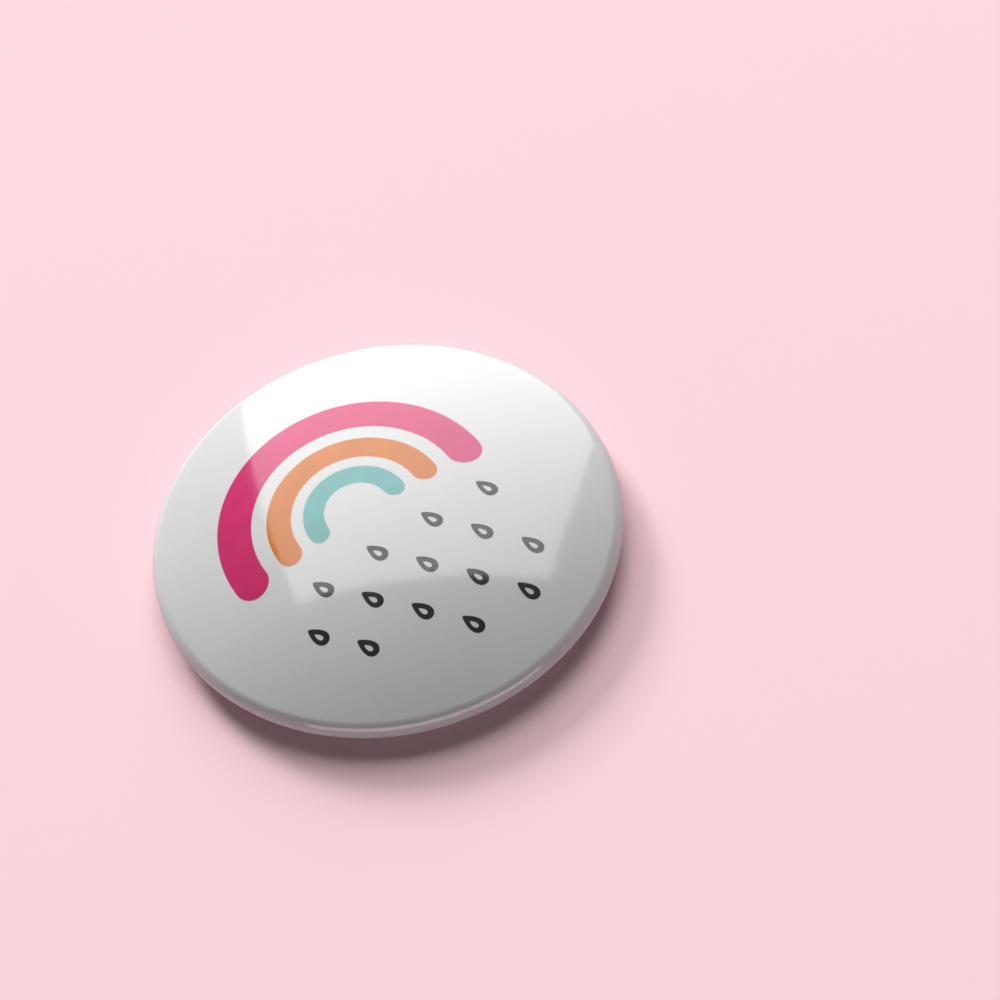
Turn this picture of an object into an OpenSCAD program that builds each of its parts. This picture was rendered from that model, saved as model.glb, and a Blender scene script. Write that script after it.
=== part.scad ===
// Round button badge with a swing-out pin, lying face up on its back plate.
// Millimetres. The origin is the centre of the ridge that the badge rests on,
// +Z points out of the printed face, +X runs along the pin from coil to point.

/* [Badge] */
// Diameter over the wrapped edge
badge_d = 58; // [56:0.5:60]
// Height of the dome above the widest ring
dome_h = 6.4; // [6:0.1:8]
// Height of the widest ring above the surface the badge rests on
rim_z = 2.8; // [2.7:0.05:3]
// Radius of the shoulder between dome and widest ring
shoulder_r = 1.8; // [1.4:0.1:2.4]
// Radius of the roll under the widest ring
roll_r = 1.1; // [1:0.05:1.2]

/* [Layers] */
// Thickness of the clear film
film_t = 0.1; // [0.06:0.01:0.12]
// Thickness of the printed paper
paper_t = 0.15; // [0.1:0.01:0.18]
// Thickness of the tinplate shell and the back plate
plate_t = 0.35; // [0.25:0.01:0.4]
// Air left between layers that lie on each other
layer_gap = 0.02; // [0.01:0.005:0.03]

/* [Back plate] */
// Radius of the back plate at its outer edge
plate_r = 26.7; // [26.4:0.1:26.8]
// Width of the flat ridge the badge rests on
ridge_w = 1.2; // [0.8:0.1:1.6]
// Radius of the arc from the ridge out to the edge
flank_r = 5; // [4.8:0.1:6]
// Radius of the flat floor of the well
well_r = 18.9; // [18:0.1:19.5]
// Depth of the well below the ridge
well_depth = 5.3; // [5.1:0.1:5.3]
// Radius of the curve from the ridge into the well
lip_r = 2.2; // [1.6:0.1:2.4]

/* [Pin] */
// Diameter of the pin wire
wire_d = 0.6; // [0.5:0.05:0.6]
// Outer diameter of the spring coil
coil_d = 5.7; // [5.5:0.1:5.7]
// Distance from the badge centre to the coil
coil_x = 13.3; // [12.8:0.1:13.6]
// Height of the coil centre above the well floor
coil_rise = 1.7; // [1.6:0.05:1.8]
// Distance between neighbouring turns of the coil
turn_pitch = 0.66; // [0.66:0.01:0.7]
// Distance from the badge centre to the needle point
point_x = 14.6; // [14:0.1:15.2]
// Length of the sharpened end
point_len = 3.2; // [2.5:0.1:4]
// Distance from the badge centre to the catch hook
catch_x = 12.4; // [12:0.1:12.8]

/* [Hidden] */
$fn = 96;
badge_r = badge_d / 2;
top_z = rim_z + dome_h;
wire_r = wire_d / 2;

// The dome is one large arc that runs tangent into the shoulder arc.
shoulder_x = badge_r - shoulder_r;
dome_r = (pow(shoulder_x, 2) + pow(dome_h, 2) - pow(shoulder_r, 2)) / (2 * (dome_h - shoulder_r));
dome_z = top_z - dome_r;
shoulder_a = atan2(rim_z - dome_z, shoulder_x);
roll_x = badge_r - roll_r;

// How far each layer lies inside the outer surface of the badge.
paper_in = film_t + layer_gap;
shell_in = paper_in + paper_t + layer_gap;
tuck_r = 25.2;
hem_r = 26.2;

// The back plate: rounded edge, outer flank, flat ridge, lip, wall and floor.
edge_top = rim_z - roll_r - layer_gap;
edge_r = 0.45;
edge_x = plate_r - edge_r;
ridge_out = 23.4;
ridge_in = ridge_out - ridge_w;
flank_a = asin((edge_x - ridge_out) / (flank_r - edge_r));
edge_z = flank_r - (flank_r - edge_r) * cos(flank_a);
floor_dx = well_r - ridge_in;
floor_dz = well_depth - lip_r;
wall_a = atan2(floor_dz, floor_dx) + acos(lip_r / sqrt(pow(floor_dx, 2) + pow(floor_dz, 2)));
floor_top = well_depth + plate_t;

// The coil stands in two slots, one each side of a bridge in the floor.
coil_z = well_depth - coil_rise;
turn_r = (coil_d - wire_d) / 2;
needle_z = coil_z - turn_r;
half_turns = 5;
leg_y = half_turns * turn_pitch / 2;
leg_z = coil_z + turn_r;
steps_per_half = 20;
wire_sides = 14;
bridge_half = 0.6;
slot_far = 2.6;
slot_y0 = -wire_r - 0.2;
slot_y1 = leg_y + wire_r + 0.2;

// The other end of the wire comes up through the floor and hooks over.
bend_r = 0.8;
hook_r = 0.7;
hook_z = 0.72;
hook_end_y = 0.72;
catch_slot_w = wire_d + 0.3;
catch_slot_x0 = catch_x - bend_r - wire_r;
catch_slot_x1 = catch_x + wire_r + 0.15;

film_colour = [0.93, 0.95, 0.97, 0.35];
paper_colour = [0.96, 0.96, 0.95];
tin_colour = [0.72, 0.73, 0.75];
steel_colour = [0.78, 0.79, 0.81];
wire_colour = [0.5, 0.51, 0.53];

// Points along an arc, from angle a0 to angle a1 in n steps.
function arc_points(x, y, r, a0, a1, n) = [
    for (i = [0 : n])
        let (a = a0 + (a1 - a0) * i / n)
        [x + r * cos(a), y + r * sin(a)]
];

function reversed(points) = [for (i = [len(points) - 1 : -1 : 0]) points[i]];

// The section line of a layer that lies inset below the badge's surface.
function layer_line(inset, inner_r) = concat(
    arc_points(0, dome_z, dome_r - inset, 90, shoulder_a, 32),
    arc_points(shoulder_x, rim_z, shoulder_r - inset, shoulder_a, 0, 10),
    arc_points(roll_x, rim_z, roll_r - inset, 0, -90, 10),
    [[inner_r, rim_z - roll_r + inset]]
);

// Half the section of one layer wrapped over the dome and tucked in below.
module wrapped_section(inset, t, inner_r) {
    polygon(concat(layer_line(inset, inner_r), reversed(layer_line(inset + t, inner_r))));
}

module front_shell() {
    color(tin_colour)
        rotate_extrude()
            wrapped_section(shell_in, plate_t, hem_r);
}

module print_disc() {
    color(paper_colour)
        rotate_extrude()
            wrapped_section(paper_in, paper_t, tuck_r);
}

module clear_film() {
    color(film_colour)
        rotate_extrude()
            wrapped_section(0, film_t, tuck_r);
}

// The back plate's section line at depth t inside its visible surface.
function plate_line(t) = concat(
    [[plate_r - t, edge_top]],
    arc_points(edge_x, edge_z, edge_r - t, 0, flank_a - 90, 8),
    arc_points(ridge_out, flank_r, flank_r - t, flank_a - 90, -90, 10),
    arc_points(ridge_in, lip_r, lip_r - t, 270, wall_a, 14),
    [[well_r - t * cos(wall_a), well_depth - t * sin(wall_a)]]
);

// Half the section of the back plate, from its edge to the well floor.
module plate_section() {
    polygon(concat(
        plate_line(0),
        [[0, well_depth], [0, floor_top], [well_r - plate_t * cos(wall_a), floor_top]],
        reversed(plate_line(plate_t))
    ));
}

module back_plate() {
    color(steel_colour)
        difference() {
            rotate_extrude()
                plate_section();
            for (side = [-1, 1])
                coil_slot(side);
            catch_slot();
        }
}

// One of the two openings that the turns of the coil pass through.
module coil_slot(side) {
    width = slot_far - bridge_half;
    mid_x = -coil_x + side * (slot_far + bridge_half) / 2;
    translate([mid_x - width / 2, slot_y0, well_depth - 1])
        cube([width, slot_y1 - slot_y0, plate_t + 2]);
}

// The opening that the hook end of the wire comes up through.
module catch_slot() {
    translate([catch_slot_x0, leg_y - catch_slot_w / 2, well_depth - 1])
        cube([catch_slot_x1 - catch_slot_x0, catch_slot_w, plate_t + 2]);
}

// Part of a ring of wire round +Z: r is the radius of its centre line.
module wire_arc(r, angle) {
    rotate_extrude(angle = angle)
        translate([r, 0])
            circle(r = wire_r, $fn = 32);
}

module wire_ball() {
    sphere(r = wire_r, $fn = 32);
}

// A ring of points round the coil's wire, at angle a along its helix.
function wire_ring(a) = [
    for (k = [0 : wire_sides - 1])
        let (b = 360 * k / wire_sides, r = turn_r + wire_r * cos(b))
        [-r * sin(a), turn_pitch * a / 360 + wire_r * sin(b), -r * cos(a)]
];

// The spring coil, from the root of the needle to the hidden leg.
module pin_coil() {
    steps = half_turns * steps_per_half;
    last = steps * wire_sides;
    rings = [for (i = [0 : steps]) each wire_ring(180 * i / steps_per_half)];
    sides = [
        for (i = [0 : steps - 1], k = [0 : wire_sides - 1])
            let (here = i * wire_sides, next = here + wire_sides, k2 = (k + 1) % wire_sides)
            [here + k, here + k2, next + k2, next + k]
    ];
    start = [for (k = [wire_sides - 1 : -1 : 0]) k];
    end = [for (k = [0 : wire_sides - 1]) last + k];
    color(wire_colour)
        translate([-coil_x, 0, coil_z])
            polyhedron(rings, concat([start], sides, [end]));
}

// The hidden length of wire below the floor, from the coil to the catch.
module leg() {
    translate([-coil_x + layer_gap, leg_y, leg_z])
        rotate([0, 90, 0])
            cylinder(r = wire_r, h = coil_x - layer_gap + catch_x - bend_r, $fn = 32);
    translate([catch_x - bend_r, leg_y, leg_z - bend_r])
        rotate([90, 0, 0])
            wire_arc(bend_r, 90);
}

// The hook: it rises beside the needle and turns in towards it.
module hook() {
    rise = leg_z - bend_r - hook_z - hook_r;
    reach = leg_y - hook_r - hook_end_y;
    translate([catch_x, leg_y, hook_z + hook_r])
        cylinder(r = wire_r, h = rise, $fn = 32);
    translate([catch_x, leg_y - hook_r, hook_z + hook_r])
        rotate([-90, 0, 90])
            wire_arc(hook_r, 90);
    translate([catch_x, hook_end_y, hook_z])
        rotate([-90, 0, 0])
            cylinder(r = wire_r, h = reach, $fn = 32);
    translate([catch_x, hook_end_y, hook_z])
        wire_ball();
}

module pin_catch() {
    color(wire_colour) {
        leg();
        hook();
    }
}

// The straight needle, which leaves the coil at its top turn.
module pin_needle() {
    root_x = -coil_x + layer_gap;
    color(wire_colour)
        translate([root_x, 0, needle_z])
            rotate([0, 90, 0])
                rotate_extrude($fn = 32)
                    polygon([
                        [0, 0],
                        [wire_r, 0],
                        [wire_r, point_x - point_len - root_x],
                        [0.03, point_x - root_x],
                        [0, point_x - root_x]
                    ]);
}

front_shell();
print_disc();
clear_film();
back_plate();
pin_coil();
pin_catch();
pin_needle();
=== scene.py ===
import math

import bmesh
import bpy
from mathutils import Matrix, Vector


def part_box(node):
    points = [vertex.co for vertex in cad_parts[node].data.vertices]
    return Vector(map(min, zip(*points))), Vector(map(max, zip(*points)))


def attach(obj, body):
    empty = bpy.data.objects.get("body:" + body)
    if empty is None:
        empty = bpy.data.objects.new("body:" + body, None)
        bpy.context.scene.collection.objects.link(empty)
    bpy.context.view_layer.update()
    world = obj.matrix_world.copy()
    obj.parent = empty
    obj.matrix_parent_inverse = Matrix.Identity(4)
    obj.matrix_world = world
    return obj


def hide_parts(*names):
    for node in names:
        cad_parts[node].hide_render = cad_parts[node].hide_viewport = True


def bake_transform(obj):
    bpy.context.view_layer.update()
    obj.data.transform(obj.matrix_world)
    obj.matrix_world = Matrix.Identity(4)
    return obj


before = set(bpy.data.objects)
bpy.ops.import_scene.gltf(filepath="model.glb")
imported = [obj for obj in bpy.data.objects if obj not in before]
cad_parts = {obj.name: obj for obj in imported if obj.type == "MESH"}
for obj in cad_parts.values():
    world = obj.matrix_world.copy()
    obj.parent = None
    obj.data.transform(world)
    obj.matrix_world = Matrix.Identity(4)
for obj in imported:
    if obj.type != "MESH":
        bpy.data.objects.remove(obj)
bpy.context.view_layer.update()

bl_info = {
    "name": "Button badge",
    "version": (1, 0, 0),
    "blender": (4, 5, 0),
    "location": "3D View > Sidebar > Badge",
    "description": "Builds a round pin-back button badge and the studio it lies in",
    "category": "Object",
}

FILM_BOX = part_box("clear_film")
PLATE_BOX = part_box("back_plate")
NEEDLE_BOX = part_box("pin_needle")

MM = 0.001
RIM_Z = 2.8 * MM
# Faces in one turn of the round parts.
ROUND_STEPS = 256


def colour(name, text, default):
    return bpy.props.FloatVectorProperty(
        name=name, description=text, default=default, size=3, subtype="COLOR", min=0.0, max=1.0
    )


def length(name, text, default):
    return bpy.props.FloatProperty(
        name=name, description=text, default=default, min=0.0, unit="LENGTH", precision=5
    )


class BadgeSizes(bpy.types.PropertyGroup):
    radius: length("Radius", "Radius over the wrapped edge", FILM_BOX[1].x)
    rim_z: length("Rim height", "Height of the widest ring above the resting ridge", RIM_Z)
    dome_h: length("Dome height", "Rise of the dome above the widest ring", FILM_BOX[1].z - RIM_Z)
    shoulder_r: length("Shoulder radius", "Radius of the shoulder of the dome", 1.8 * MM)
    roll_r: length("Roll radius", "Radius of the roll under the widest ring", 1.1 * MM)
    tuck_r: length("Tuck radius", "Radius that film and paper are tucked in to", 25.2 * MM)
    film_t: length("Film", "Thickness of the clear film", 0.1 * MM)
    paper_t: length("Paper", "Thickness of the printed paper", 0.15 * MM)
    tin_t: length("Tinplate", "Thickness of shell and back plate", 0.35 * MM)
    gap: length("Gap", "Air between layers that lie on each other", 0.02 * MM)


class PlateSizes(bpy.types.PropertyGroup):
    radius: length("Radius", "Radius of the back plate at its edge", PLATE_BOX[1].x)
    edge_r: length("Edge radius", "Radius of the turned edge", 0.45 * MM)
    flank_r: length("Flank radius", "Radius of the arc from edge to ridge", 5 * MM)
    ridge_out: length("Ridge", "Outer radius of the flat resting ridge", 23.4 * MM)
    ridge_w: length("Ridge width", "Width of the flat resting ridge", 1.2 * MM)
    lip_r: length("Lip radius", "Radius of the curve from ridge to well", 2.2 * MM)
    well_r: length("Well radius", "Radius of the flat floor of the well", 18.9 * MM)
    well_depth: length("Well depth", "Depth of the well below the ridge", 5.3 * MM)


# Between the coil's ends and the straight wires, and the radius of the needle's very point.
WIRE_GAP = 0.02 * MM
POINT_R = 0.02 * MM


class PinSizes(bpy.types.PropertyGroup):
    wire_r: length("Wire radius", "Radius of the pin wire", NEEDLE_BOX[1].y)
    coil_x: length("Coil", "Distance from badge centre to coil", 13.3 * MM)
    coil_r: length("Coil radius", "Radius of the coil's centre line", 2.55 * MM)
    coil_z: length("Coil height", "Height of the coil's axis", 3.6 * MM)
    pitch: length("Pitch", "Distance between turns", 0.66 * MM)
    turns: bpy.props.FloatProperty(name="Turns", description="Turns of the coil", default=2.5)
    point_x: length("Point", "Distance from badge centre to needle point", NEEDLE_BOX[1].x)
    point_len: length("Taper", "Length of the sharpened end", 3.2 * MM)
    catch_x: length("Catch", "Distance from badge centre to the catch hook", 12.4 * MM)
    hook_r: length("Hook radius", "Radius of the bend of the hook", 0.7 * MM)
    hook_z: length("Hook height", "Height of the hook's top", 0.72 * MM)
    hook_y: length("Hook end", "Distance from the needle's line to the end of the hook", 0.72 * MM)
    bend_r: length("Bend radius", "Radius of the hidden bend", 0.8 * MM)


class PrintLook(bpy.types.PropertyGroup):
    paper: colour("Paper", "Colour of the unprinted paper", (0.605, 0.605, 0.605))
    outer_band: colour("Outer band", "Colour of the outer band", (0.53, 0.015, 0.125))
    middle_band: colour("Middle band", "Colour of the middle band", (0.54, 0.155, 0.004))
    inner_band: colour("Inner band", "Colour of the inner band", (0.11, 0.37, 0.36))
    drops: colour("Drops", "Colour of the outlined drops", (0.012, 0.012, 0.013))
    centre_x: bpy.props.FloatProperty(
        name="Centre across", description="Place of the bands' centre", default=-2.4 * MM, unit="LENGTH"
    )
    centre_y: bpy.props.FloatProperty(
        name="Centre up", description="Place of the bands' centre", default=1.2 * MM, unit="LENGTH"
    )
    ink_t: length("Ink", "Thickness of the ink", 0.006 * MM)


class StageLook(bpy.types.PropertyGroup):
    floor: colour("Floor", "Colour of the floor", (0.885, 0.622, 0.668))
    azimuth: bpy.props.FloatProperty(
        name="Azimuth", description="Camera's turn about +Z", default=math.radians(-22.7), subtype="ANGLE"
    )
    elevation: bpy.props.FloatProperty(
        name="Elevation", description="Camera's height angle", default=math.radians(53.4), subtype="ANGLE"
    )
    roll: bpy.props.FloatProperty(
        name="Roll", description="Tilt of the picture", default=math.radians(13.15), subtype="ANGLE"
    )
    view_width: length("View width", "Width of the picture at the badge", 121.6 * MM)
    aim_right: length("Aim right", "How far right of the badge the camera aims", 13.75 * MM)
    aim_up: length("Aim up", "How far above the badge the camera aims", 4.3 * MM)
    lens: bpy.props.FloatProperty(name="Lens", description="Focal length in mm", default=140.0)
    window: bpy.props.FloatProperty(name="Window light", description="Power in W", default=118.0)
    key: bpy.props.FloatProperty(name="Key light", description="Power in W", default=215.0)
    front: bpy.props.FloatProperty(name="Front light", description="Power in W", default=13.0)
    horizon: bpy.props.FloatProperty(
        name="Horizon", description="Brightness along the horizon", default=0.85
    )
    fill: bpy.props.FloatProperty(
        name="Fill light", description="Brightness of the sky above", default=0.09
    )


GROUPS = {
    "badge_sizes": BadgeSizes,
    "badge_plate": PlateSizes,
    "badge_pin": PinSizes,
    "badge_print": PrintLook,
    "badge_stage": StageLook,
}


# ---- curves and sections ----


def arc(x, z, r, a0, a1, n):
    """Points along an arc, from angle a0 to a1 in degrees."""
    points = []
    for i in range(n + 1):
        a = math.radians(a0 + (a1 - a0) * i / n)
        points.append((x + r * math.cos(a), z + r * math.sin(a)))
    return points


class Dome:
    """The badge's outer surface: one large arc that runs tangent into the shoulder."""

    def __init__(self, s):
        rise = s.dome_h
        self.s = s
        self.shoulder_x = s.radius - s.shoulder_r
        self.r = (self.shoulder_x**2 + rise**2 - s.shoulder_r**2) / (2 * (rise - s.shoulder_r))
        self.z = s.rim_z + rise - self.r
        self.angle = math.degrees(math.atan2(s.rim_z - self.z, self.shoulder_x))

    def line(self, inset, inner_r):
        """Half the line of a layer that lies inset below the surface, axis first."""
        s = self.s
        roll_x = s.radius - s.roll_r
        crown = arc(0, self.z, self.r - inset, 90, self.angle, 72)
        shoulder = arc(self.shoulder_x, s.rim_z, s.shoulder_r - inset, self.angle, 0, 24)
        roll = arc(roll_x, s.rim_z, s.roll_r - inset, 0, -90, 20)
        return crown + shoulder[1:] + roll[1:] + [(inner_r, s.rim_z - s.roll_r + inset)]

    def section(self, inset, thickness, inner_r):
        """The closed half section of a layer."""
        outside = self.line(inset, inner_r)
        inside = self.line(inset + thickness, inner_r)
        return outside + inside[::-1]

    def height(self, x, y, inset):
        """Height of the crown over a point, inset below the surface."""
        return self.z + math.sqrt((self.r - inset) ** 2 - x * x - y * y)


def plate_line(p, z_top, t):
    """The back plate's section line at depth t inside its visible surface, edge first."""
    edge_x = p.radius - p.edge_r
    flank_a = math.degrees(math.asin((edge_x - p.ridge_out) / (p.flank_r - p.edge_r)))
    edge_z = p.flank_r - (p.flank_r - p.edge_r) * math.cos(math.radians(flank_a))
    ridge_in = p.ridge_out - p.ridge_w
    dx = p.well_r - ridge_in
    dz = p.well_depth - p.lip_r
    wall = math.degrees(math.atan2(dz, dx) + math.acos(p.lip_r / math.hypot(dx, dz)))
    line = [(p.radius - t, z_top)]
    line += arc(edge_x, edge_z, p.edge_r - t, 0, flank_a - 90, 12)
    line += arc(p.ridge_out, p.flank_r, p.flank_r - t, flank_a - 90, -90, 18)
    line += arc(ridge_in, p.lip_r, p.lip_r - t, 270, wall, 24)
    out_x = math.cos(math.radians(wall))
    out_z = math.sin(math.radians(wall))
    return line + [(p.well_r - t * out_x, p.well_depth - t * out_z)], out_x


# ---- meshes ----


def new_object(name, bm, material, sharp=40):
    """Turns a bmesh into a smooth-shaded object."""
    bmesh.ops.recalc_face_normals(bm, faces=bm.faces)
    mesh = bpy.data.meshes.new(name)
    bm.to_mesh(mesh)
    bm.free()
    mesh.polygons.foreach_set("use_smooth", [True] * len(mesh.polygons))
    mesh.set_sharp_from_angle(angle=math.radians(sharp))
    obj = bpy.data.objects.new(name, mesh)
    bpy.context.scene.collection.objects.link(obj)
    obj.data.materials.append(material)
    return obj


def revolve(outline, steps=ROUND_STEPS):
    """A closed outline of (radius, height) points turned about +Z."""
    bm = bmesh.new()
    rings = []
    for r, z in outline:
        if r < 1e-7:
            rings.append([bm.verts.new((0, 0, z))] * steps)
            continue
        turns = [2 * math.pi * k / steps for k in range(steps)]
        rings.append([bm.verts.new((r * math.cos(a), r * math.sin(a), z)) for a in turns])
    count = len(rings)
    for i in range(count):
        here = rings[i]
        after = rings[(i + 1) % count]
        for k in range(steps):
            k2 = (k + 1) % steps
            corners = [here[k], after[k], after[k2], here[k2]]
            ring = list(dict.fromkeys(corners))
            if len(ring) > 2:
                bm.faces.new(ring)
    return bm


def sweep(points, radii, sides=28):
    """A round tube along points, with closed ends."""
    bm = bmesh.new()
    rings = []
    side = None
    last = len(points) - 1
    for i, point in enumerate(points):
        ahead = (points[min(i + 1, last)] - points[max(i - 1, 0)]).normalized()
        if side is None:
            side = ahead.orthogonal().normalized()
        side = (side - ahead * side.dot(ahead)).normalized()
        up = ahead.cross(side)
        ring = []
        for k in range(sides):
            a = 2 * math.pi * k / sides
            ring.append(bm.verts.new(point + radii[i] * (side * math.cos(a) + up * math.sin(a))))
        rings.append(ring)
    for here, after in zip(rings, rings[1:]):
        for k in range(sides):
            k2 = (k + 1) % sides
            bm.faces.new([here[k], here[k2], after[k2], after[k]])
    bm.faces.new(rings[0][::-1])
    bm.faces.new(rings[-1])
    return bm


def box_bm(low, high):
    bm = bmesh.new()
    bmesh.ops.create_cube(bm, size=1)
    size = high - low
    for v in bm.verts:
        v.co = Vector((v.co.x * size.x, v.co.y * size.y, v.co.z * size.z)) + (low + high) / 2
    return bm


def cut(obj, *blocks):
    """Cuts blocks of (low, high) corners out of an object's mesh."""
    for low, high in blocks:
        block = new_object("cutter", box_bm(Vector(low), Vector(high)), obj.data.materials[0])
        step = obj.modifiers.new("cut", "BOOLEAN")
        step.operation = "DIFFERENCE"
        step.solver = "EXACT"
        step.object = block
        bpy.context.view_layer.update()
        done = bpy.data.meshes.new_from_object(obj.evaluated_get(bpy.context.evaluated_depsgraph_get()))
        obj.modifiers.clear()
        obj.data = done
        bpy.data.objects.remove(block, do_unlink=True)


# ---- materials ----


class Recipe:
    """A new material's node tree, with short ways to add and join nodes."""

    def __init__(self, name):
        self.material = bpy.data.materials.new(name)
        self.material.use_nodes = True
        self.tree = self.material.node_tree
        self.tree.nodes.clear()
        self.out = self.add("ShaderNodeOutputMaterial")
        self.place = self.add("ShaderNodeTexCoord").outputs["Object"]

    def add(self, kind, **values):
        node = self.tree.nodes.new(kind)
        for key, value in values.items():
            setattr(node, key, value)
        return node

    def join(self, a, b):
        self.tree.links.new(a, b)

    def noise(self, scale, detail=3.0, stretch=None):
        """A noise pattern; scale is in patterns per metre."""
        node = self.add("ShaderNodeTexNoise")
        node.inputs["Scale"].default_value = scale
        node.inputs["Detail"].default_value = detail
        source = self.place
        if stretch:
            mapping = self.add("ShaderNodeMapping")
            mapping.inputs["Scale"].default_value = stretch
            self.join(source, mapping.inputs["Vector"])
            source = mapping.outputs["Vector"]
        self.join(source, node.inputs["Vector"])
        return node.outputs["Fac"]

    def span(self, value, low, high):
        """Maps a 0 to 1 pattern to low to high."""
        node = self.add("ShaderNodeMapRange")
        node.inputs["From Min"].default_value = 0.3
        node.inputs["From Max"].default_value = 0.7
        node.inputs["To Min"].default_value = low
        node.inputs["To Max"].default_value = high
        self.join(value, node.inputs["Value"])
        return node.outputs["Result"]

    def tint(self, value, low, high):
        """Mixes two colours by a pattern."""
        node = self.add("ShaderNodeMix", data_type="RGBA")
        node.inputs["A"].default_value = (*low, 1)
        node.inputs["B"].default_value = (*high, 1)
        self.join(value, node.inputs["Factor"])
        return node.outputs["Result"]

    def bump(self, value, depth, strength):
        node = self.add("ShaderNodeBump")
        node.inputs["Distance"].default_value = depth
        node.inputs["Strength"].default_value = strength
        self.join(value, node.inputs["Height"])
        return node.outputs["Normal"]

    def surface(self, base, rough, normal=None, metallic=0.0, ior=1.5, specular=0.5):
        """Finishes the material as one principled surface."""
        shader = self.add("ShaderNodeBsdfPrincipled")
        shader.inputs["Metallic"].default_value = metallic
        shader.inputs["IOR"].default_value = ior
        shader.inputs["Specular IOR Level"].default_value = specular
        self.join(base, shader.inputs["Base Color"])
        self.join(rough, shader.inputs["Roughness"])
        if normal:
            self.join(normal, shader.inputs["Normal"])
        self.join(shader.outputs["BSDF"], self.out.inputs["Surface"])
        return self.material


def shade(base, factor):
    return tuple(min(1.0, c * factor) for c in base)


def paper_material(base):
    """Uncoated white paper with faint fibres."""
    m = Recipe("white_paper")
    fibre = m.noise(2600, 4, (1, 2.5, 1))
    cloud = m.noise(120, 2)
    base_colour = m.tint(m.span(cloud, 0, 1), shade(base, 0.985), shade(base, 1.01))
    return m.surface(base_colour, m.span(fibre, 0.55, 0.7), m.bump(fibre, 0.000005, 0.08), specular=0.2)


def ink_material(name, base):
    """Flat printed ink with the slight unevenness of brushed colour."""
    m = Recipe(name)
    wash = m.noise(330, 5)
    grain = m.noise(5200, 2)
    base_colour = m.tint(m.span(wash, 0, 1), shade(base, 0.93), shade(base, 1.07))
    return m.surface(base_colour, m.span(grain, 0.5, 0.65), m.bump(grain, 0.000005, 0.08), specular=0.2)


def film_material():
    """Clear gloss film: it lets light through and mirrors on its outer side only."""
    m = Recipe("clear_gloss_film")
    ripple = m.noise(140, 2)
    haze = m.noise(900, 4)
    clear = m.add("ShaderNodeBsdfTransparent")
    gloss = m.add("ShaderNodeBsdfAnisotropic")
    mirror = m.add("ShaderNodeFresnel")
    mirror.inputs["IOR"].default_value = 1.52
    side = m.add("ShaderNodeNewGeometry")
    front = m.add("ShaderNodeMath", operation="SUBTRACT")
    front.inputs[0].default_value = 1.0
    share = m.add("ShaderNodeMath", operation="MULTIPLY")
    mix = m.add("ShaderNodeMixShader")
    m.join(side.outputs["Backfacing"], front.inputs[1])
    m.join(front.outputs[0], share.inputs[0])
    m.join(mirror.outputs["Fac"], share.inputs[1])
    m.join(m.span(haze, 0.06, 0.1), gloss.inputs["Roughness"])
    m.join(m.bump(ripple, 0.00002, 0.05), gloss.inputs["Normal"])
    m.join(share.outputs[0], mix.inputs["Fac"])
    m.join(clear.outputs["BSDF"], mix.inputs[1])
    m.join(gloss.outputs["BSDF"], mix.inputs[2])
    m.join(mix.outputs["Shader"], m.out.inputs["Surface"])
    return m.material


def metal_material(name, base, rough, grain, stretch, depth):
    """Bare or plated metal with a fine grain."""
    m = Recipe(name)
    lines = m.noise(grain, 4, stretch)
    cloud = m.noise(160, 3)
    base_colour = m.tint(m.span(cloud, 0, 1), shade(base, 0.95), shade(base, 1.03))
    return m.surface(base_colour, m.span(lines, *rough), m.bump(lines, depth, 0.2), metallic=1.0)


def floor_material(base):
    """Matt seamless paper."""
    m = Recipe("pale_backdrop")
    cloud = m.noise(7, 3)
    fibre = m.noise(1500, 4)
    base_colour = m.tint(m.span(cloud, 0, 1), shade(base, 0.995), shade(base, 1.005))
    return m.surface(base_colour, m.span(fibre, 0.8, 0.9), m.bump(fibre, 0.00001, 0.1), specular=0.0)


# ---- the print ----


def on_dome(flat_points, dome, inset):
    """Lays flat points on the crown, inset below the outer surface."""
    return [Vector((x, y, dome.height(x, y, inset))) for x, y in flat_points]


def ink_patch(rows, dome, inset, thickness, ring=False):
    """A closed thin sheet on the crown from rows of flat points.

    A ring joins its last row to its first.
    """
    bm = bmesh.new()
    top = [[bm.verts.new(p) for p in on_dome(row, dome, inset)] for row in rows]
    low = [[bm.verts.new(p) for p in on_dome(row, dome, inset + thickness)] for row in rows]
    if ring:
        top.append(top[0])
        low.append(low[0])
    width = len(rows[0])
    for t0, t1, l0, l1 in zip(top, top[1:], low, low[1:]):
        for k in range(width - 1):
            bm.faces.new([t0[k], t1[k], t1[k + 1], t0[k + 1]])
            bm.faces.new([l0[k], l0[k + 1], l1[k + 1], l1[k]])
        bm.faces.new([t0[0], l0[0], l1[0], t1[0]])
        bm.faces.new([t0[-1], t1[-1], l1[-1], l0[-1]])
    if not ring:
        for k in range(width - 1):
            bm.faces.new([top[0][k], top[0][k + 1], low[0][k + 1], low[0][k]])
            bm.faces.new([top[-1][k], low[-1][k], low[-1][k + 1], top[-1][k + 1]])
    return bm


def band_rows(centre, r, width, steps=150, across=12):
    """Rows across a half-circle band with round ends."""
    cap = width / 2
    end = cap / r
    rows = []
    for i in range(steps + 1):
        t = i / steps
        along = -end + (math.pi + 2 * end) * (1 - math.cos(math.pi * t)) / 2
        over = max(0.0, -along, along - math.pi) * r
        half = math.sqrt(max(cap**2 - over**2, (0.02 * cap) ** 2))
        row = []
        for k in range(across + 1):
            rr = r + half * (2 * k / across - 1)
            row.append((centre[0] + rr * math.cos(along), centre[1] + rr * math.sin(along)))
        rows.append(row)
    return rows


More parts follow.
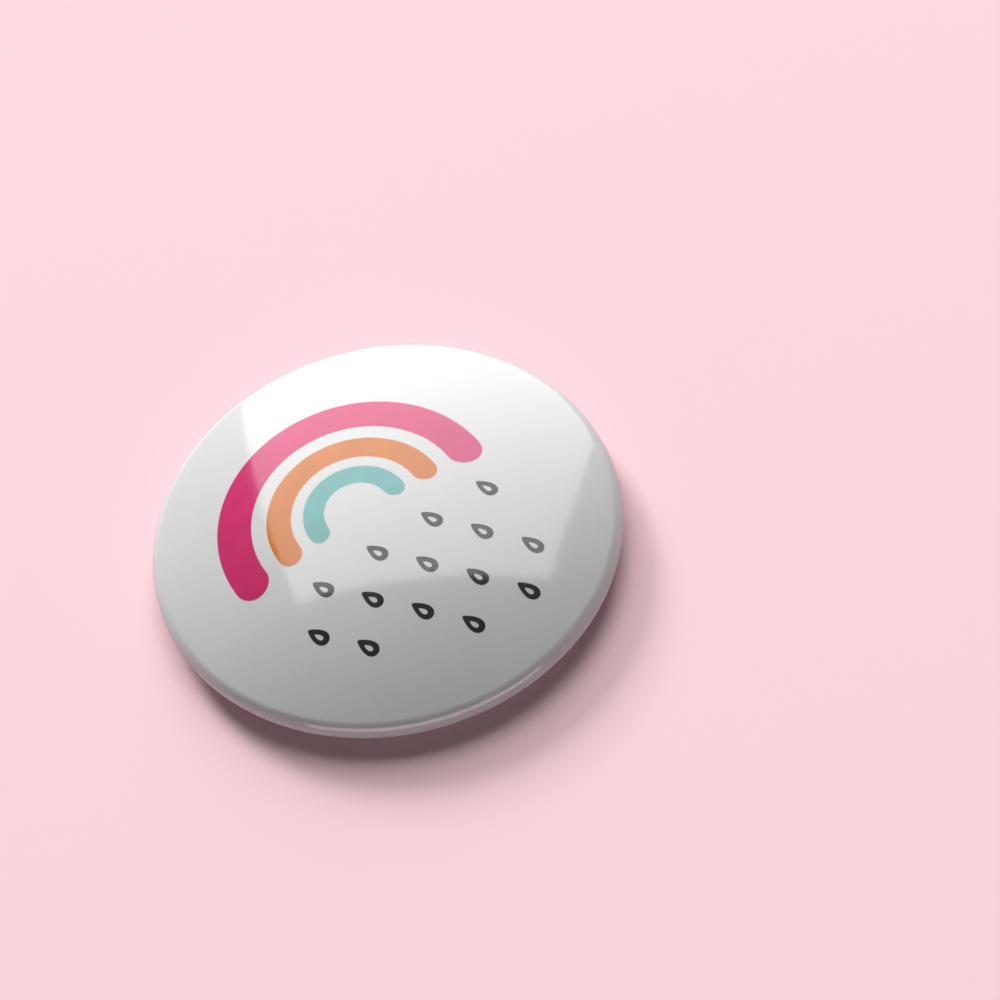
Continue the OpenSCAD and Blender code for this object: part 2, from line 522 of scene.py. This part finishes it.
def drop_line(centre, tall, wide, n=56):
    """The outline of a leaning drop: a round foot drawn up to a blunt tip."""
    lean_x, lean_y = math.cos(DROP_LEAN), math.sin(DROP_LEAN)
    points = []
    for i in range(n):
        a = 2 * math.pi * i / n
        pinch = 0.5 + 0.5 * math.cos(a)
        x = wide / 2 * math.sin(a) * (1 - 0.62 * pinch**1.3)
        y = tall / 2 * math.cos(a)
        points.append((centre[0] + x * lean_x - y * lean_y, centre[1] + x * lean_y + y * lean_x))
    return points


# Each row of drops: where it starts across, its height and how many; lengths are shares of the radius.
DROP_ROWS = ((-0.34, -0.08, 4), (-0.475, -0.25, 4), (-0.34, -0.42, 4), (0.065, -0.59, 2))
DROP_STEP = 0.27
DROP_TALL = 0.104
DROP_WIDE = 0.08
DROP_STROKE = 0.027
DROP_LEAN = math.radians(22)
# Bands: radius of the middle line and width, as shares of the badge's radius.
BAND_SIZES = {
    "outer_band": (0.53, 0.15),
    "middle_band": (0.335, 0.106),
    "inner_band": (0.185, 0.09),
}
# The ink lies this far above the paper.
INK_LIFT = 0.004 * MM


def drop_centres(radius):
    """Centres of a staggered field of drops."""
    centres = []
    for start, y, count in DROP_ROWS:
        for i in range(count):
            x = start + i * DROP_STEP
            flat = 1 - 0.3 * (x * x + y * y)
            centres.append(((x - 0.06 * flat) * radius, (y - 0.11 * flat) * radius))
    return centres


def drops_bm(dome, radius, inset, thickness):
    """All the drops in one mesh, each a closed ring of ink."""
    whole = bmesh.new()
    tall = DROP_TALL * radius
    wide = DROP_WIDE * radius
    stroke = DROP_STROKE * radius
    for centre in drop_centres(radius):
        outer = drop_line(centre, tall, wide)
        low = (centre[0], centre[1] - 0.18 * stroke)
        inner = drop_line(low, tall - 2.3 * stroke, wide - 2 * stroke)
        rows = [[o, i] for o, i in zip(outer, inner)]
        part = ink_patch(rows, dome, inset, thickness, ring=True)
        bmesh.ops.recalc_face_normals(part, faces=part.faces)
        mesh = bpy.data.meshes.new("drop")
        part.to_mesh(mesh)
        part.free()
        whole.from_mesh(mesh)
        bpy.data.meshes.remove(mesh)
    return whole


# ---- operators ----


def place(obj, body, slot_name, *nodes):
    """Rides a piece on its body and stands it in for CAD nodes; the finish name is not used."""
    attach(obj, body)
    if nodes:
        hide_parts(*nodes)
    return obj


class BADGE_OT_shell(bpy.types.Operator):
    """Build the domed tinplate shell under the print"""

    bl_idname = "badge.shell"
    bl_label = "Shell"

    def execute(self, context):
        s = context.scene.badge_sizes
        inset = s.film_t + s.paper_t + 2 * s.gap
        tin = metal_material(
            "bright_tinplate", (0.72, 0.73, 0.75), (0.2, 0.32), 1800, (1, 9, 1), 0.000005
        )
        # The shell's cut edge stands back from the edge of the wrapped layers.
        section = Dome(s).section(inset, s.tin_t, s.tuck_r + MM)
        place(new_object("shell", revolve(section), tin), "badge", "tinplate", "front_shell")
        return {"FINISHED"}


class BADGE_OT_print(bpy.types.Operator):
    """Build the printed paper with its bands and drops"""

    bl_idname = "badge.print"
    bl_label = "Print"

    def execute(self, context):
        s = context.scene.badge_sizes
        look = context.scene.badge_print
        dome = Dome(s)
        inset = s.film_t + s.gap
        paper = revolve(dome.section(inset, s.paper_t, s.tuck_r))
        place(new_object("paper", paper, paper_material(look.paper)), "badge", "print", "print_disc")
        ink_in = inset - look.ink_t - INK_LIFT
        centre = (look.centre_x, look.centre_y)
        for name, (r, width) in BAND_SIZES.items():
            rows = band_rows(centre, r * s.radius, width * s.radius)
            patch = ink_patch(rows, dome, ink_in, look.ink_t)
            ink = ink_material(name + "_ink", getattr(look, name))
            place(new_object(name, patch, ink), "badge", "")
        drops = drops_bm(dome, s.radius, ink_in, look.ink_t)
        place(new_object("drops", drops, ink_material("drop_ink", look.drops)), "badge", "")
        return {"FINISHED"}


class BADGE_OT_film(bpy.types.Operator):
    """Build the clear gloss film over the print"""

    bl_idname = "badge.film"
    bl_label = "Film"

    def execute(self, context):
        s = context.scene.badge_sizes
        film = revolve(Dome(s).section(0, s.film_t, s.tuck_r))
        place(new_object("film", film, film_material()), "badge", "film", "clear_film")
        return {"FINISHED"}


class BADGE_OT_plate(bpy.types.Operator):
    """Build the recessed metal back with the openings for the wire"""

    bl_idname = "badge.plate"
    bl_label = "Back plate"

    def execute(self, context):
        s = context.scene.badge_sizes
        p = context.scene.badge_plate
        pin = context.scene.badge_pin
        z_top = s.rim_z - s.roll_r - s.gap
        visible, out_x = plate_line(p, z_top, 0)
        hidden, _ = plate_line(p, z_top, s.tin_t)
        floor_top = p.well_depth + s.tin_t
        centre = [(0, p.well_depth), (0, floor_top), (p.well_r - s.tin_t * out_x, floor_top)]
        steel = metal_material(
            "bright_plated_steel", (0.86, 0.865, 0.875), (0.16, 0.26), 700, (1, 1, 14), 0.000004
        )
        plate = new_object("plate", revolve(visible + centre + hidden[::-1]), steel)
        cut(plate, *self.wire_openings(pin, p.well_depth - MM, floor_top + MM))
        plate.data.polygons.foreach_set("use_smooth", [True] * len(plate.data.polygons))
        plate.data.set_sharp_from_angle(angle=math.radians(30))
        place(plate, "badge", "back", "back_plate")
        return {"FINISHED"}

    def wire_openings(self, pin, low, high):
        """The two slots that the coil dips through and the one that the leg comes up through."""
        side_gap = 0.2 * MM
        leg_gap = 0.15 * MM
        far, near = 2.6 * MM, 0.6 * MM
        leg_y = pin.turns * pin.pitch
        y0 = -pin.wire_r - side_gap
        y1 = leg_y + pin.wire_r + side_gap
        half = pin.wire_r + leg_gap
        leg_x = pin.catch_x - pin.bend_r - pin.wire_r
        return (
            ((-pin.coil_x - far, y0, low), (-pin.coil_x - near, y1, high)),
            ((-pin.coil_x + near, y0, low), (-pin.coil_x + far, y1, high)),
            ((leg_x, leg_y - half, low), (pin.catch_x + half, leg_y + half, high)),
        )


class BADGE_OT_pin(bpy.types.Operator):
    """Build the spring wire: coil, catch hook and needle"""

    bl_idname = "badge.pin"
    bl_label = "Pin"

    def execute(self, context):
        p = context.scene.badge_pin
        wire = metal_material(
            "spring_wire", (0.40, 0.405, 0.42), (0.22, 0.36), 2400, (0.15, 4, 4), 0.000006
        )
        coil = self.coil_points(p)
        self.wind(new_object("coil", sweep(coil, [p.wire_r] * len(coil)), wire), p)
        hook = self.hook_points(p)
        tip = [p.wire_r * share for share in (0.94, 0.75, 0.35)]
        catch = sweep(hook, [p.wire_r] * (len(hook) - len(tip)) + tip)
        place(new_object("catch", catch, wire), "badge", "wire", "pin_catch")
        place(new_object("needle", self.needle(p), wire), "pin", "wire", "pin_needle")
        return {"FINISHED"}

    def coil_points(self, p, steps_per_turn=96):
        """The coil's centre line, from the needle's root to the leg."""
        steps = int(steps_per_turn * p.turns)
        points = []
        for i in range(steps + 1):
            a = 2 * math.pi * p.turns * i / steps
            x = -p.coil_x - p.coil_r * math.sin(a)
            y = p.pitch * a / (2 * math.pi)
            points.append(Vector((x, y, p.coil_z - p.coil_r * math.cos(a))))
        return points

    def needle(self, p, taper_steps=12):
        """The straight needle, drawn to a fine point."""
        xs = [-p.coil_x + WIRE_GAP, 0, p.point_x - p.point_len]
        radii = [p.wire_r] * 3
        for k in range(1, taper_steps + 1):
            left = 1 - k / taper_steps
            xs.append(p.point_x - p.point_len * left)
            radii.append(p.wire_r * left**0.8 + POINT_R)
        z = p.coil_z - p.coil_r
        return sweep([Vector((x, 0, z)) for x in xs], radii)

    def wind(self, coil, p):
        """Bakes the coil's placement into its mesh and hides the CAD coil."""
        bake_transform(coil)
        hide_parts("pin_coil")

    def hook_points(self, p):
        """The hidden leg, its bend up through the plate and the hook beside the needle."""
        leg_y = p.turns * p.pitch
        leg_z = p.coil_z + p.coil_r
        points = [Vector((-p.coil_x + WIRE_GAP, leg_y, leg_z))]
        for x, z in arc(p.catch_x - p.bend_r, leg_z - p.bend_r, p.bend_r, 90, 0, 12):
            points.append(Vector((x, leg_y, z)))
        for y, z in arc(leg_y - p.hook_r, p.hook_z + p.hook_r, p.hook_r, 0, -90, 14):
            points.append(Vector((p.catch_x, y, z)))
        # Three short steps round off the end of the hook.
        for step in (0.0, 0.12, 0.24, 0.3):
            points.append(Vector((p.catch_x, p.hook_y - step * MM, p.hook_z)))
        return points


class BADGE_OT_stage(bpy.types.Operator):
    """Lay the floor, hang the lights and set the camera"""

    bl_idname = "badge.stage"
    bl_label = "Stage"

    def execute(self, context):
        look = context.scene.badge_stage
        self.floor(look)
        self.lights(context, look)
        self.camera(context, look)
        context.scene.view_settings.view_transform = "Standard"
        return {"FINISHED"}

    def floor(self, look):
        bm = bmesh.new()
        bmesh.ops.create_grid(bm, x_segments=8, y_segments=8, size=0.7)
        floor = new_object("floor", bm, floor_material(look.floor))
        floor.location.z = -0.00002

    def axes(self, look):
        """Directions back to the camera, to its right and up, before the roll."""
        a, e = look.azimuth, look.elevation
        back = Vector((math.sin(a) * math.cos(e), -math.cos(a) * math.cos(e), math.sin(e)))
        right = Vector((math.cos(a), math.sin(a), 0))
        return back, right, back.cross(right)

    def camera(self, context, look):
        back, right, up = self.axes(look)
        c, s = math.cos(look.roll), math.sin(look.roll)
        cam_x = right * c - up * s
        cam_y = right * s + up * c
        centre = Vector((0, 0, context.scene.badge_sizes.rim_z))
        aim = centre + cam_x * look.aim_right + cam_y * look.aim_up
        data = bpy.data.cameras.new("camera")
        data.lens = look.lens
        data.clip_start = 0.01
        camera = bpy.data.objects.new("camera", data)
        context.scene.collection.objects.link(camera)
        distance = look.view_width * look.lens / data.sensor_width
        rotation = Matrix((cam_x, cam_y, back)).transposed().to_4x4()
        camera.matrix_world = Matrix.Translation(aim + back * distance) @ rotation
        context.scene.camera = camera

    def lamp(self, context, name, place_at, aim, size, power):
        """A soft box of (across, up) metres that faces the point it aims at."""
        data = bpy.data.lights.new(name, "AREA")
        data.shape = "RECTANGLE"
        data.size, data.size_y = size
        data.energy = power
        lamp = bpy.data.objects.new(name, data)
        context.scene.collection.objects.link(lamp)
        lamp.location = place_at
        lamp.rotation_euler = (aim - place_at).to_track_quat("-Z", "Y").to_euler()
        return lamp

    def lights(self, context, look):
        """A large window behind, a low key that only shades and a front box that only shines."""
        a = look.azimuth
        away = Vector((-math.sin(a), math.cos(a), 0))
        right = Vector((math.cos(a), math.sin(a), 0))
        top = Vector((0, 0, 1))
        centre = Vector((0, 0, 6 * MM))
        tilt = math.radians(50)
        window = (away * math.sin(tilt) + top * math.cos(tilt) + right * 0.1) * 3
        self.lamp(context, "window", centre + window, centre, (2.58, 3.48), look.window)
        key = (away * 0.9 - right * 0.36 + top * 0.43).normalized() * 5
        key_lamp = self.lamp(context, "key", centre + key, centre, (1.3, 1.3), look.key)
        key_lamp.visible_glossy = False
        front = top * 0.3 - away
        front_lamp = self.lamp(context, "front", centre + front, centre, (2.2, 0.5), look.front)
        front_lamp.visible_diffuse = False
        self.sky(context, look)

    def sky(self, context, look):
        """A pale horizon that fades to a dim fill higher up."""
        world = bpy.data.worlds.new("studio")
        context.scene.world = world
        world.use_nodes = True
        tree = world.node_tree
        sky = tree.nodes["Background"]
        sky.inputs["Color"].default_value = (1.0, 0.95, 0.96, 1)
        direction = tree.nodes.new("ShaderNodeTexCoord")
        parts = tree.nodes.new("ShaderNodeSeparateXYZ")
        fade = tree.nodes.new("ShaderNodeMapRange")
        fade.inputs["From Min"].default_value = math.sin(math.radians(6))
        fade.inputs["From Max"].default_value = math.sin(math.radians(14))
        fade.inputs["To Min"].default_value = look.horizon
        fade.inputs["To Max"].default_value = look.fill
        tree.links.new(direction.outputs["Generated"], parts.inputs["Vector"])
        tree.links.new(parts.outputs["Z"], fade.inputs["Value"])
        tree.links.new(fade.outputs["Result"], sky.inputs["Strength"])


OPERATORS = (
    BADGE_OT_shell,
    BADGE_OT_print,
    BADGE_OT_film,
    BADGE_OT_plate,
    BADGE_OT_pin,
    BADGE_OT_stage,
)


class BADGE_PT_panel(bpy.types.Panel):
    """Sizes, colours and build steps of the badge"""

    bl_label = "Button badge"
    bl_idname = "BADGE_PT_panel"
    bl_space_type = "VIEW_3D"
    bl_region_type = "UI"
    bl_category = "Badge"

    def draw(self, context):
        for operator in OPERATORS:
            self.layout.operator(operator.bl_idname)
        for name, group in GROUPS.items():
            box = self.layout.box()
            box.label(text=group.__name__)
            for key in group.__annotations__:
                box.prop(getattr(context.scene, name), key)


def register():
    for name, group in GROUPS.items():
        bpy.utils.register_class(group)
        setattr(bpy.types.Scene, name, bpy.props.PointerProperty(type=group))
    for item in (*OPERATORS, BADGE_PT_panel):
        bpy.utils.register_class(item)


def unregister():
    for item in (BADGE_PT_panel, *reversed(OPERATORS)):
        bpy.utils.unregister_class(item)
    for name, group in reversed(GROUPS.items()):
        delattr(bpy.types.Scene, name)
        bpy.utils.unregister_class(group)


def main():
    register()
    bpy.ops.badge.shell()
    bpy.ops.badge.print()
    bpy.ops.badge.film()
    bpy.ops.badge.plate()
    bpy.ops.badge.pin()
    bpy.ops.badge.stage()


if __name__ == "__main__":
    main()
